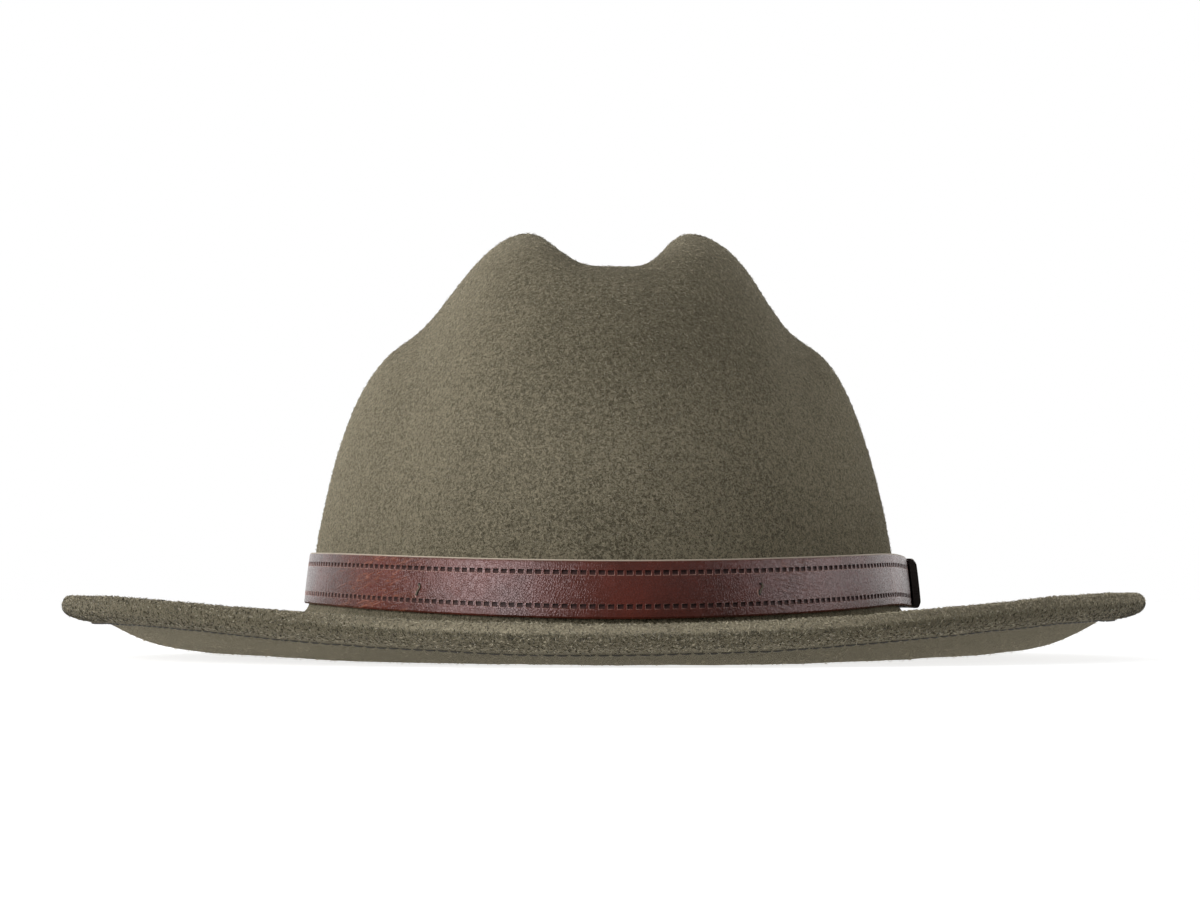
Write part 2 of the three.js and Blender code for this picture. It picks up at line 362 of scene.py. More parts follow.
def felt_finish(settings):
    """Pressed wool: crossing fibres over a mottled ground, dull, with a soft sheen."""
    material, recipe = new_finish("pressed wool felt")
    place = recipe.place()
    clumps = recipe.noise(place, 1050, detail=3, roughness=0.65, distortion=0.6)
    grains = recipe.noise(place, 2200, roughness=0.6, distortion=0.5)
    clouds = recipe.noise(place, 28)
    curls = recipe.noise(place, 820, distortion=3.2)
    turned = recipe.mapped(place, "POINT", (0.7, 0.4, 1.1))
    crossings = recipe.noise(turned, 1100, distortion=2.6)
    fibres = recipe.lines(curls, 12) + recipe.lines(crossings, 11)
    ground = ((clumps * 0.5 + grains * 0.42 + clouds * 0.08 - 0.5) * 8.5 + 0.5).held()
    wander = (recipe.noise(place, 260, roughness=0.6) - 0.5) * settings.seam_wander * 2
    from_seam = recipe.attribute("from_seam") + wander
    gaps = recipe.noise(place, 140).over(0.2, 0.34)
    width = settings.seam_width
    # The groove's mask paints a shadow line along the seam and also sinks the bump there
    groove_shadow = (1 - (from_seam - width / 2).size() / width).held() * gaps
    # A painted highlight along the seam's lip, just out from the groove
    lip = (1 - (from_seam - width * 2.2).size() / width).held()
    shade = recipe.layered(settings.deep_wool, (
        (ground, settings.wool),
        ((fibres * 0.56 * (ground * 0.8 + 0.2)).held(), settings.pale_wool),
        # pale wear and painted highlight
        (recipe.attribute("wear_and_highlight") * (grains.over(0.4, 0.6) * 0.66 + 0.44), settings.pale_wool),
        # painted shade, in the deep wool's colour
        (recipe.attribute("painted_shade") * 0.75, settings.deep_wool),
        (lip * 0.3, settings.pale_wool),
        ((groove_shadow * 2).held(), settings.groove_shadow),
    ))
    height = clumps * 0.6 + grains * 0.25 + fibres * 0.12 - groove_shadow * 0.9
    recipe.surface({
        "Base Color": shade,
        "Roughness": 0.95,
        "Specular IOR Level": 0.15,
        "Sheen Weight": 1.0,
        "Sheen Roughness": 0.36,
        "Sheen Tint": (*settings.pale_wool, 1),
        "Normal": recipe.bump(height, settings.grain_depth),
    })
    return material


def plain_wool(name, colour, sheen):
    """Loose wool of one colour."""
    material, recipe = new_finish(name)
    recipe.surface({
        "Base Color": (*colour, 1),
        "Roughness": 0.85,
        "Specular IOR Level": 0.2,
        "Sheen Weight": sheen,
        "Sheen Roughness": 0.5,
    })
    return material


def leather_finish(settings):
    """Polished leather with pressed marks in painted shade and painted highlight, fine creases, a pale cut
    edge that is partly painted highlight and a dark lapped end that is partly painted shade.
    """
    material, recipe = new_finish("polished leather")
    along = recipe.node("ShaderNodeUVMap", uv_map="band")
    clouds = recipe.noise(along, 34, detail=3, roughness=0.55, distortion=0.5)
    mottle = recipe.noise(along, 330, detail=3, roughness=0.6)
    cells = {"Vector": along, "Scale": 1500}
    grain = recipe.node("ShaderNodeTexVoronoi", cells, feature="DISTANCE_TO_EDGE")
    creases_right = recipe.creases(along, -0.24, 30) * recipe.attribute("creased_right")
    creases_left = recipe.creases(along, 0.26, 44) * recipe.attribute("creased_left") * 0.5
    creases = creases_right + creases_left
    pressed = recipe.attribute("pressed")
    cut_edge_and_highlight = recipe.attribute("cut_edge_and_highlight")
    end_paint_and_shade = recipe.attribute("end_paint_and_shade")
    # Over the leather's mottling go the worn creases, the marks' painted highlight and painted shade, the
    # cut edge with its painted highlight and the end with its painted shade
    shade = recipe.layered(settings.dark_leather, (
        (((clouds * 0.75 + mottle * 0.25 - 0.5) * 3 + 0.5).held(), settings.leather),
        (creases * 0.42, settings.worn_leather),
        (recipe.attribute("lit_lip_of_mark") * 0.75, settings.lip),
        (pressed, settings.pit),
        (cut_edge_and_highlight, settings.cut_edge_and_highlight),
        (end_paint_and_shade, settings.end_edge_paint_and_shade),
    ))
    height = grain.over(0, 0.25) * 0.5 + mottle * 0.25 + creases * 0.9
    roughness = mottle * 0.07 + 0.235 + pressed * 0.7 + cut_edge_and_highlight * 0.4 + end_paint_and_shade * 0.4
    recipe.surface({
        "Base Color": shade,
        "Roughness": roughness.held(),
        "Specular IOR Level": 0.5,
        "Specular Tint": (*settings.gloss, 1),
        "Coat Weight": 0.05,
        "Coat Roughness": 0.25,
        "Normal": recipe.bump(height, 0.00009),
    })
    return material


def thread_finish(name, colour):
    """Twisted thread."""
    material, recipe = new_finish(name)
    place = recipe.place()
    ply = recipe.noise(place, 1500, roughness=0.6)
    dark = tuple(part * 0.6 for part in colour)
    recipe.surface({
        "Base Color": recipe.blend(ply, dark, colour),
        "Roughness": 0.7,
        "Normal": recipe.bump(ply, 0.0001),
    })
    return material


def signed_power(value, power):
    return np.sign(value) * np.abs(value) ** power


def roundness_at(along):
    return np.where(along < 0, FRONT_ROUNDNESS, BACK_ROUNDNESS)


def oval_point(angle, share, out):
    """A point of the head oval shrunk to a share of it and moved out along its normal."""
    turn = np.radians(angle)
    across = np.sin(turn)
    along = -np.cos(turn)
    roundness = roundness_at(along)
    x = signed_power(across, 2 / roundness)
    y = signed_power(along, 2 / roundness)
    normal_x = signed_power(x, roundness - 1) / CROWN_HALF_WIDTH
    normal_y = signed_power(y, roundness - 1) / CROWN_HALF_LENGTH
    reach = np.hypot(normal_x, normal_y)
    return (
        CROWN_HALF_WIDTH * x * share + normal_x / reach * out,
        CROWN_HALF_LENGTH * y * share + normal_y / reach * out,
    )


def dome_spread(y):
    """The power of the dome's curve: the back is fuller than the front."""
    return DOME_SPREAD + BACK_FULLNESS * np.maximum(y / CROWN_HALF_LENGTH, 0) ** 2


def dome_share(angle, height):
    """The share of the head oval that the crown's wall has at a height."""
    y = oval_point(angle, 1, 0)[1]
    risen = np.maximum(height - CROWN_FOOT, 0) / CROWN_HEIGHT
    return (1 - risen ** (1 / DOME_RISE)) ** (1 / dome_spread(y))


def oval_reach(x, y):
    """1 on the head oval, less inside and more outside, to the power of the roundness given too."""
    roundness = roundness_at(y)
    reach = np.abs(x / CROWN_HALF_WIDTH) ** roundness + np.abs(y / CROWN_HALF_LENGTH) ** roundness
    return reach, roundness


def outside_oval(x, y):
    """How far a point lies outside the head oval, about."""
    reach, roundness = oval_reach(x, y)
    return (reach ** (1 / roundness) - 1) * MIDDLE_RADIUS


def crown_height(x, y):
    """The creased crown's height over a point inside the head oval."""
    reach, roundness = oval_reach(x, y)
    wall = np.maximum(1 - reach ** (dome_spread(y) / roundness), 0)
    dome = CROWN_FOOT + CROWN_HEIGHT * wall ** DOME_RISE
    across = np.abs(x - CREASE_CENTRE) / CREASE_HALF_WIDTH
    lengthwise = step(*CREASE_FRONT, y) * (1 - step(*CREASE_BACK, y))
    crease = lengthwise * np.exp(-across ** CREASE_SHARPNESS)
    depth, centre, inner, outer = (
        np.where(x > 0, left, right) * MM for left, right in zip(*DENTS, strict=True)
    )
    from_centre = np.abs(x) - centre
    width = np.where(from_centre < 0, inner, outer)
    along = np.exp(-(((y - DENT_CENTRE_ALONG) / DENT_HALF_LENGTH) ** 4))
    dent = depth * along * np.exp(-((from_centre / width) ** 2))
    return dome - CREASE_DEPTH * crease - dent


def pick(*pieces):
    """Selects these pieces and nothing else, and makes the first one active."""
    bpy.ops.object.select_all(action="DESELECT")
    for piece in pieces:
        piece.select_set(True)
    bpy.context.view_layer.objects.active = pieces[0]


def named(name):
    """The active object under its own name."""
    piece = bpy.context.active_object
    piece.name = name
    piece.data.name = name
    return piece


@contextmanager
def editing():
    """Edit mode for the active piece."""
    bpy.ops.object.mode_set(mode="EDIT")
    yield
    bpy.ops.object.mode_set(mode="OBJECT")


def apply_modifier(piece, kind, **settings):
    pick(piece)
    bpy.ops.object.modifier_add(type=kind)
    modifier = piece.modifiers[-1]
    for name, value in settings.items():
        setattr(modifier, name, value)
    bpy.ops.object.modifier_apply(modifier=modifier.name)


def points_of(mesh):
    points = np.empty(len(mesh.vertices) * 3)
    mesh.vertices.foreach_get("co", points)
    return points.reshape(-1, 3)


def normals_of(mesh):
    normals = np.empty(len(mesh.vertices) * 3)
    mesh.vertex_normals.foreach_get("vector", normals)
    return normals.reshape(-1, 3)


def set_points(mesh, points):
    mesh.vertices.foreach_set("co", points.ravel())
    mesh.update()


def paint(mesh, name, values):
    """Keeps one number for each vertex under a name."""
    attribute = mesh.attributes.new(name, "FLOAT", "POINT")
    attribute.data.foreach_set("value", np.asarray(values, dtype=np.float32))


def hand_over(piece, material):
    """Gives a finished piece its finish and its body."""
    piece.data.materials.clear()
    piece.data.materials.append(material)
    pick(piece)
    bpy.ops.object.transform_apply(location=True, rotation=True, scale=True)
    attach(piece, "root")


def step(low, high, values):
    """Smooth step from 0 at low to 1 at high."""
    share = np.clip((values - low) / (high - low), 0, 1)
    return share * share * (3 - 2 * share)


class FELTHAT_OT_felt(bpy.types.Operator):
    """Shape the felt: crown, crease, brim and turned-under edge in one skin"""

    bl_idname = "felthat.felt"
    bl_label = "Felt"

    def execute(self, context):
        settings = context.scene.felt_settings
        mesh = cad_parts["felt_body"].data.copy()
        piece = bpy.data.objects.new("hat_felt", mesh)
        context.scene.collection.objects.link(piece)
        pick(piece)
        bpy.ops.mesh.customdata_custom_splitnormals_clear()
        with editing():
            bpy.ops.mesh.select_all(action="SELECT")
            bpy.ops.mesh.remove_doubles(threshold=0.00001)
            bpy.ops.mesh.tris_convert_to_quads(face_threshold=math.pi, shape_threshold=math.pi)
        apply_modifier(piece, "SUBSURF", levels=2, render_levels=2)
        self.settle_crown(mesh)
        # Columns: name, spacing in m, share of the unevenness
        for name, spacing, share in (("broad", 0.03, 1.2), ("close", 0.008, 0.7)):
            texture = bpy.data.textures.new(name + " unevenness", "CLOUDS")
            texture.noise_scale = spacing
            apply_modifier(
                piece, "DISPLACE", texture=texture, texture_coords="LOCAL",
                strength=settings.unevenness * share, mid_level=0.5,
            )
        bpy.ops.object.shade_smooth()
        self.mark_zones(piece.data)
        hand_over(piece, felt_finish(settings))
        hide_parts("felt_body")
        return {"FINISHED"}

    def settle_crown(self, mesh):
        """Brings the top of the crown's outer skin onto its true curve."""
        points = points_of(mesh)
        normals = normals_of(mesh)
        x, y, z = points.T
        share = 1 + outside_oval(x, y) / MIDDLE_RADIUS
        faces_out = (normals * np.column_stack((x, y, z - INSIDE_HEIGHT))).sum(1) > 0
        on_top = (z > SETTLED_ABOVE) * (1 - step(*SETTLED_SHARE, share))
        points[:, 2] += (crown_height(x, y) - z) * (faces_out * on_top)
        set_points(mesh, points)

    def mark_zones(self, mesh):
        """Marks where the loose fibres grow, where pale wear and painted highlight go, and where painted
        shade goes.
        """
        points = points_of(mesh)
        normals = normals_of(mesh)
        x, y, z = points.T
        up = normals[:, 2]
        out = outside_oval(x, y)
        from_seam = self.seam_distance(x, y)
        middle = np.column_stack((x, y, np.maximum(z - INSIDE_HEIGHT, 0)))
        faces_out = (normals * middle).sum(1) > 0
        on_edge = step(*EDGE_STARTS, out)
        upper = step(*UPPER_SKIN, up)
        edge_top = on_edge * upper
        edge_side = (1 - upper) * step(*EDGE_SIDE_STARTS, from_seam)
        at_sides = step(*SIDES_START, np.abs(x))
        out_of_right_shade = step(*RIGHT_SHADE_ENDS, x)

        paint(mesh, "crown_nap", faces_out * (out < BRIM_STARTS) * step(*CROWN_NAP_STARTS, z))
        on_brim = step(*BRIM_NAP_STARTS, out) * (1 - step(*BRIM_NAP_ENDS, out))
        paint(mesh, "brim_nap", on_brim * np.where(up > 0, 1, 0.35))
        paint(mesh, "edge_top_nap", edge_top)
        # Pale fibres on the edge's top are partly worn nap and partly painted highlight. They are thinner at
        # the hat's right, as painted shade
        paint(mesh, "edge_pale_nap", edge_top * (0.3 + 0.7 * out_of_right_shade))
        # Pale and olive fibres on the edge's front face thin out towards the sides, where painted shade
        # takes their place
        paint(mesh, "side_pale_nap", edge_side * (1 - 0.85 * at_sides))
        # Dark fibres paint shade on the edge's front face and on its top at the hat's right
        shaded_top = 0.8 * step(*SHADED_RIGHT_STARTS, -x) * edge_top * (1 - step(*TOP_SKIN, up))
        paint(mesh, "edge_dark_nap", np.maximum(edge_side, shaded_top))

        # Pale wool on the edge's top is partly wear and partly painted highlight. It is weaker at the hat's
        # right, as painted shade. On the crown's highest parts, stronger on the hat's left, and in one patch
        # on the crown's front at the hat's right, it is painted highlight
        edge_wear_and_highlight = step(*EDGE_WEAR_AND_HIGHLIGHT_STARTS, out) * step(*EDGE_WEAR_AND_HIGHLIGHT_SKIN, up)
        edge_wear_and_highlight *= 0.25 + 0.75 * out_of_right_shade
        ridge_highlight = (0.32 + 0.2 * step(*LEFT_RIDGE_STARTS, x)) * step(*RIDGE_HIGHLIGHT_STARTS, z)
        lit_patch = self.front_patch(LIT_PATCH, x, y, z)
        paint(mesh, "wear_and_highlight", np.maximum.reduce((edge_wear_and_highlight, ridge_highlight, lit_patch)))

        # Painted shade: on the edge's faces that do not face up, out from the seam and stronger towards the
        # sides; on all downward faces; on the edge at the sides except where it faces straight up; and in
        # one patch on the crown's front at the hat's left
        side = (1 - step(*SHADED_SKIN, up)) * (0.4 + 0.6 * step(*SHADED_SIDES_START, np.abs(x)))
        side *= step(*SHADED_SIDE_STARTS, from_seam)
        underside = 0.85 * step(*DOWNWARD_SKIN, -up)
        shaded_side_tops = 0.8 * at_sides * on_edge * (1 - step(*SIDE_TOP_SKIN, up))
        shaded_patch = self.front_patch(SHADED_PATCH, x, y, z)
        paint(mesh, "painted_shade", np.maximum.reduce((side, underside, shaded_side_tops, shaded_patch)))
        paint(mesh, "from_seam", np.where(up < 0.2, from_seam, SEAM_OUT))

    def front_patch(self, patch, x, y, z):
        """A soft round patch on the crown's front, used for one painted highlight and one painted shade."""
        strength, middle_x, middle_z, half_width, half_height = patch
        across = (x - middle_x) / half_width
        upward = (z - middle_z) / half_height
        return strength * np.exp(-(across ** 2) - upward ** 2) * (y < 0)

    def seam_distance(self, x, y):
        """How far each point lies outside the edge seam, seen from above."""
        seam = np.column_stack(oval_point(SEAM_ANGLES, 1, SEAM_OUT))
        facing = (np.column_stack(oval_point(SEAM_ANGLES, 1, SEAM_OUT + MM)) - seam) / MM
        nearest = np.full(len(x), np.inf)
        distance = np.zeros(len(x))
        for spot, way in zip(seam, facing, strict=True):
            off_x = x - spot[0]
            off_y = y - spot[1]
            reach = off_x ** 2 + off_y ** 2
            closer = reach < nearest
            nearest[closer] = reach[closer]
            distance[closer] = (off_x * way[0] + off_y * way[1])[closer]
        return distance


class FELTHAT_OT_nap(bpy.types.Operator):
    """Grow the loose fibres that stand off the felt"""

    bl_idname = "felthat.nap"
    bl_label = "Loose fibres"

    def execute(self, context):
        settings = context.scene.felt_settings
        pale = plain_wool("pale wool fibre", settings.pale_wool, 0.4)
        middle = plain_wool("olive wool fibre", settings.wool, 0.3)
        deep = plain_wool("dark wool fibre", settings.deep_wool, 0.2)
        fibre = self.model_fibre("fibre", settings.fibre_length, settings.fibre_width)
        tuft = self.model_fibre("tuft", settings.tuft_length, settings.tuft_width)
        crown = settings.crown_fibres
        edge = settings.edge_fibres
        # Columns: name, fibre, zone, fibres on a square metre, lowest and highest lean, finish
        batches = (
            ("crown_fibres_pale", fibre, "crown_nap", crown, 72, 89, pale),
            ("crown_fibres_olive", fibre, "crown_nap", crown, 70, 89, middle),
            ("brim_fibres_pale", fibre, "brim_nap", settings.brim_fibres, 60, 86, pale),
            # On the edge, the pale fibres on its top are partly worn nap and partly painted highlight. The
            # dark fibres on its front face and at the hat's right are painted shade
            ("edge_top_fibres_pale", tuft, "edge_pale_nap", edge * 1.1, 60, 88, pale),
            ("edge_top_fibres_olive", tuft, "edge_top_nap", edge * 0.8, 64, 88, middle),
            ("edge_side_fibres_pale", tuft, "side_pale_nap", edge * 0.35, 68, 89, pale),
            ("edge_side_fibres_olive", tuft, "side_pale_nap", edge * 0.75, 68, 89, middle),
            ("edge_side_fibres_dark", tuft, "edge_dark_nap", edge * 0.9, 68, 89, deep),
        )
        for turn, (name, model, zone, count, low, high, finish) in enumerate(batches):
            piece = self.grow(name, model, zone, count, (low, high), settings.seed + turn)
            hand_over(piece, finish)
        bpy.data.objects.remove(fibre)
        bpy.data.objects.remove(tuft)
        return {"FINISHED"}

    def model_fibre(self, name, length, width):
        """One bent fibre: a three-sided spindle with its root and its tip off the line."""
        bpy.ops.mesh.primitive_cone_add(
            vertices=3, radius1=width / 2, radius2=0, depth=length * 0.55,
            location=(0, 0, length * 0.725),
        )
        fibre = named(name)
        bpy.ops.object.transform_apply(location=True)
        for part in (*fibre.data.edges, *fibre.data.vertices):
            part.select = False
        for face in fibre.data.polygons:
            face.select = face.normal.z < -0.9
        with editing():
            bpy.ops.mesh.select_mode(type="FACE")
            bpy.ops.mesh.poke()
        root = fibre.data.vertices[-1]
        root.co = (-length * 0.16, 0, 0)
        return fibre

    def grow(self, name, fibre, zone, count, lean, seed):
        """Scatters copies of the fibre over one zone of the felt and leans them."""
        felt = bpy.data.objects["hat_felt"]
        piece = bpy.data.objects.new(name, felt.data.copy())
        bpy.context.scene.collection.objects.link(piece)
        tree = bpy.data.node_groups.new(name, "GeometryNodeTree")
        tree.is_modifier = True
        tree.interface.new_socket("Felt", in_out="INPUT", socket_type="NodeSocketGeometry")
        tree.interface.new_socket("Fibres", in_out="OUTPUT", socket_type="NodeSocketGeometry")
        recipe = Recipe(tree)
        skin = recipe.node("NodeGroupInput")
        share = recipe.node("GeometryNodeInputNamedAttribute", {"Name": zone}, data_type="FLOAT")
        scatter = recipe.node(
            "GeometryNodeDistributePointsOnFaces",
            {"Mesh": skin, "Density": share * count, "Seed": seed},
        )
        facing = Shade(recipe, scatter.socket.node.outputs["Rotation"])
        low, high = (math.radians(angle) for angle in lean)
        random_turn = recipe.node(
            "FunctionNodeRandomValue",
            {0: (low, 0, 0), 1: (high, 0, math.tau), "Seed": seed + TURN_SEED},
            data_type="FLOAT_VECTOR",
        )
        turn = recipe.node("FunctionNodeEulerToRotation", {"Euler": random_turn})
        turned = recipe.node(
            "FunctionNodeRotateRotation", {"Rotation": facing, "Rotate By": turn},
            rotation_space="LOCAL",
        )
        smallest, largest = FIBRE_SIZES
        size = recipe.node(
            "FunctionNodeRandomValue", {2: smallest, 3: largest, "Seed": seed + SIZE_SEED}, 1,
            data_type="FLOAT",
        )
        copy = recipe.node("GeometryNodeObjectInfo", {"Object": fibre}, "Geometry")
        fibres = recipe.node(
            "GeometryNodeInstanceOnPoints",
            {"Points": scatter, "Instance": copy, "Rotation": turned, "Scale": size},
        )
        solid = recipe.node("GeometryNodeRealizeInstances", {"Geometry": fibres})
        recipe.node("NodeGroupOutput", {0: solid})
        apply_modifier(piece, "NODES", node_group=tree)
        return piece


class FELTHAT_OT_edge_stitches(bpy.types.Operator):
    """Sew the turned-under edge: stitches along its inner border"""

    bl_idname = "felthat.edge_stitches"
    bl_label = "Edge stitches"

    def execute(self, context):
        settings = context.scene.seam_settings
        bpy.ops.mesh.primitive_uv_sphere_add(segments=6, ring_count=6, radius=1)
        stitch = named("stitch")
        half_thread = settings.thread_width / 2
        stitch.scale = (settings.stitch_length / 2, half_thread, half_thread)
        bpy.ops.object.transform_apply(scale=True)
        copies = [self.sewn(stitch, matrix) for matrix in self.places(settings)]
        bpy.data.objects.remove(stitch)
        pick(*copies)
        bpy.ops.object.join()
        piece = named("edge_stitches")
        bpy.ops.object.shade_smooth()
        hand_over(piece, thread_finish("edge thread", settings.thread))
        return {"FINISHED"}

    def sewn(self, stitch, matrix):
        """One stitch in its place."""
        copy = bpy.data.objects.new("stitch_copy", stitch.data.copy())
        copy.data.transform(matrix)
        bpy.context.scene.collection.objects.link(copy)
        return copy

    def seam_line(self):
        """The line of the turned edge's border, read from the felt's own underside."""
        felt = bpy.data.objects["hat_felt"]
        points = []
        for x, y in zip(*oval_point(SEAM_ANGLES, 1, SEAM_OUT), strict=True):
            found, place, _, _ = felt.ray_cast(Vector((x, y, -0.02)), Vector((0, 0, 1)))
            if not found:
                raise RuntimeError("the seam misses the brim")
            points.append(place)
        return np.array(points)

    def places(self, settings):
        """Where each stitch lies along the seam, with its long side along the seam."""
        line = self.seam_line()
        closed = np.vstack((line, line[:1]))
        steps = np.linalg.norm(np.diff(closed, axis=0), axis=1)
        run = np.concatenate(([0], np.cumsum(steps)))
        pitch = settings.stitch_length
        count = round(run[-1] / pitch)
        scatter = np.random.default_rng(STITCH_SEED)
        matrices = []
        for number in range(count):
            middle = (number + 0.5) * run[-1] / count
            ends = [
                Vector([np.interp(place % run[-1], run, closed[:, axis]) for axis in range(3)])
                for place in (middle - pitch / 3, middle + pitch / 3)
            ]
            along = (ends[1] - ends[0]).normalized()
            out = along.cross(Vector((0, 0, 1))).normalized()
            up = out.cross(along)
            sway = scatter.uniform(-settings.stitch_sway, settings.stitch_sway)
            matrix = Matrix((along, out, up)).transposed().to_4x4()
            matrix.translation = (ends[0] + ends[1]) / 2 + out * sway
            matrices.append(matrix)
        return matrices


class FELTHAT_OT_band(bpy.types.Operator):
    """Cut the leather strap, press its two rows of marks and lay it round the crown"""

    bl_idname = "felthat.band"
    bl_label = "Leather band"

    def execute(self, context):
        settings = context.scene.band_settings
        route = band_route()
        length = route["run"][-1]
        marks = round(length / settings.mark_pitch)
        half_mark = settings.mark_height / BAND_HEIGHT / 2
        # Where the strap's grid has its rows, as shares of its height
        heights = np.array([
            0, 0.03, 0.07, 0.12,
            settings.lower_row - half_mark, settings.lower_row + half_mark,
            0.35, 0.5, 0.64,
            settings.upper_row - half_mark, settings.upper_row + half_mark,
            0.88, 0.93, 0.97, 0.992, 1,
        ])
        pitch = length / marks
        starts = np.arange(marks) * pitch
        inset = (pitch - settings.mark_length) / 2
        mark_sides = np.column_stack((starts + inset, starts + pitch - inset)).ravel()
        columns = np.concatenate(([0], mark_sides, [length]))
        piece = self.flat_strap(columns, heights)
        self.press_marks(piece, settings, columns, half_mark)
        self.lay_round(piece, route)
        pick(piece)
        bpy.ops.object.shade_smooth_by_angle(angle=math.radians(32))
        hand_over(piece, leather_finish(settings))
        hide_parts("leather_band")
        return {"FINISHED"}

    def flat_strap(self, columns, heights):
        """A flat strap on a table: x along it, y across it and z through it, as shares."""
        bpy.ops.mesh.primitive_grid_add(
            x_subdivisions=len(columns) - 1, y_subdivisions=len(heights) - 1, size=2
        )
        piece = named("hat_band")
        points = points_of(piece.data)
        column = np.rint((points[:, 0] + 1) / 2 * (len(columns) - 1)).astype(int)
        row = np.rint((points[:, 1] + 1) / 2 * (len(heights) - 1)).astype(int)
        flat = np.zeros(len(points))
        set_points(piece.data, np.column_stack((columns[column], heights[row], flat)))
        with editing():
            bpy.ops.mesh.select_all(action="SELECT")
            bpy.ops.mesh.extrude_region_move(TRANSFORM_OT_translate={"value": (0, 0, 1)})
            bpy.ops.mesh.select_all(action="SELECT")
            bpy.ops.mesh.normals_make_consistent(inside=False)
            bpy.ops.mesh.select_all(action="DESELECT")
        return piece

    def press_marks(self, piece, settings, columns, half_mark):
        """Presses every other cell of the two rows into the front of the strap."""
        mesh = piece.data
        last_column = len(columns) - 2
        for face in mesh.polygons:
            middle = face.center
            column = np.searchsorted(columns, middle.x) - 1
            from_rows = (abs(middle.y - row) for row in (settings.lower_row, settings.upper_row))
            in_row = min(from_rows) < half_mark * 0.5
            marked = in_row and column % 2 == 1 and 0 < column < last_column
            face.select = bool(face.normal.z > 0.9 and marked)
        with editing():
            bpy.ops.mesh.select_mode(type="FACE")
        # The cells are shrunk and sunk at the strap's true size, because y and z are shares of it
        true_size = np.array((1, BAND_HEIGHT, STRAP_THICKNESS))
        set_points(mesh, points_of(mesh) * true_size)
        lips = self.inset_marks(mesh, settings.lip_width, 0)
        pits = self.inset_marks(mesh, settings.lip_width, -settings.mark_depth)
        points = points_of(mesh)
        lit_lip_of_mark = np.zeros(len(points))
        pressed = np.zeros(len(points))
        # Painted highlight on each mark's lit lip: its lower side in the upper row, its side further along
        # the strap in the lower row
        for corners in lips:
            upward, forward = self.seen_from_middle(points, corners)
            in_upper_row = points[corners, 1] > BAND_HEIGHT / 2
            lit_lip_of_mark[corners] = np.where(in_upper_row, upward < 0, forward > 0)
        # The pits are painted dark as painted shade: fully at their upper corners and at 0.6 at their lower
        # ones, which are raised into a slope
        for corners in pits:
            upward, _ = self.seen_from_middle(points, corners)
            pressed[corners] = np.where(upward > 0, 1, 0.6)
            points[corners, 2] += np.where(upward > 0, 0, 0.55) * settings.mark_depth
        set_points(mesh, points / true_size)
        paint(mesh, "pressed", pressed)
        paint(mesh, "lit_lip_of_mark", lit_lip_of_mark)

    def inset_marks(self, mesh, thickness, depth):
        """Shrinks each selected cell and moves it, and gives the corners of each shrunk cell."""
        with editing():
            bpy.ops.mesh.inset(thickness=thickness, depth=depth, use_individual=True)
        return [np.array(face.vertices) for face in mesh.polygons if face.select]

    def seen_from_middle(self, points, corners):
        """For each corner of a cell, how far it lies up the strap and along it from the middle."""
        from_middle = points[corners] - points[corners].mean(0)
        return from_middle[:, 1], from_middle[:, 0]

    def lay_round(self, piece, route):
        """Bends the flat strap round the crown, rounds its edges and keeps its plan as its map."""
        mesh = piece.data
        points = points_of(mesh)
        run, share, through = points.T
        length = route["run"][-1]
        layer = mesh.uv_layers.new(name="band")
        corners = np.empty(len(mesh.loops), dtype=int)
        mesh.loops.foreach_get("vertex_index", corners)
        plan = np.column_stack((run, share * BAND_HEIGHT))[corners]
        layer.data.foreach_set("uv", plan.ravel())
        angle, stand_off, thickness, drop = (
            np.interp(run, route["run"], values) for values in route["shape"]
        )
        from_middle = np.abs(share - 0.5)
        near_edge = np.clip((from_middle - ROUNDED_EDGE) / (0.5 - ROUNDED_EDGE), 0, 1)
        rounding = 1 - EDGE_ROUNDING * near_edge * np.clip(through, 0, 1)
        side = np.sin(np.radians(angle)) ** 2
        bottom = BAND_BOTTOM + BAND_BOTTOM_LIFT * side - drop
        top = BAND_TOP + BAND_TOP_LIFT * side - drop
        height = bottom + (top - bottom) * share
        at_end = step(length - 0.003, length - 0.0003, run)
        corner = np.clip((from_middle - ROUNDED_CORNER) / (0.5 - ROUNDED_CORNER), 0, 1)
        rounding *= 1 - at_end * (1 - np.sqrt(1 - 0.98 * corner ** 2))
        out = stand_off + thickness * through * rounding
        x, y = oval_point(angle, dome_share(angle, height), out)
        set_points(mesh, np.column_stack((x, y, height)))
        # The strip along the strap's top edge is painted pale: partly the raw cut edge, partly painted
        # highlight
        paint(mesh, "cut_edge_and_highlight", (share > 0.99) * (run < length - 0.002))
        # Columns: side, angle of the creased stretch, its half-width in degrees
        for hand, creased, spread in (("right", -52, 11), ("left", 34, 7)):
            paint(mesh, "creased_" + hand, np.exp(-(((angle - creased) / spread) ** 2)))
        # The strap's end is painted near black: partly dark edge paint, partly painted shade
        paint(mesh, "end_paint_and_shade", step(length - 0.0004, length - 0.0001, run))
        pick(piece)
        with editing():
            bpy.ops.mesh.select_all(action="SELECT")
            bpy.ops.mesh.normals_make_consistent(inside=False)


def band_route():
    """The strap's route round the crown: angle, stand-off, thickness and drop along its run."""
    table = np.array(BAND_PATH, dtype=float)[::-1]
    fine = np.linspace(table[0, 0], table[-1, 0], 1400)
    columns = [np.interp(fine, table[:, 0], table[:, column]) for column in (1, 2, 3)]
    soft = np.ones(9) / 9
    eased = [np.convolve(np.pad(column, 4, mode="edge"), soft, mode="valid") for column in columns]
    stand_off, thickness, drop = (column[::-1] * MM for column in eased)
    angle = fine[::-1]
    middle = (BAND_BOTTOM + BAND_TOP) / 2
    x, y = oval_point(angle, dome_share(angle, middle), stand_off + thickness)
    run = np.concatenate(([0], np.cumsum(np.hypot(np.diff(x), np.diff(y)))))
    return {"run": run, "shape": (angle, stand_off, thickness, drop)}


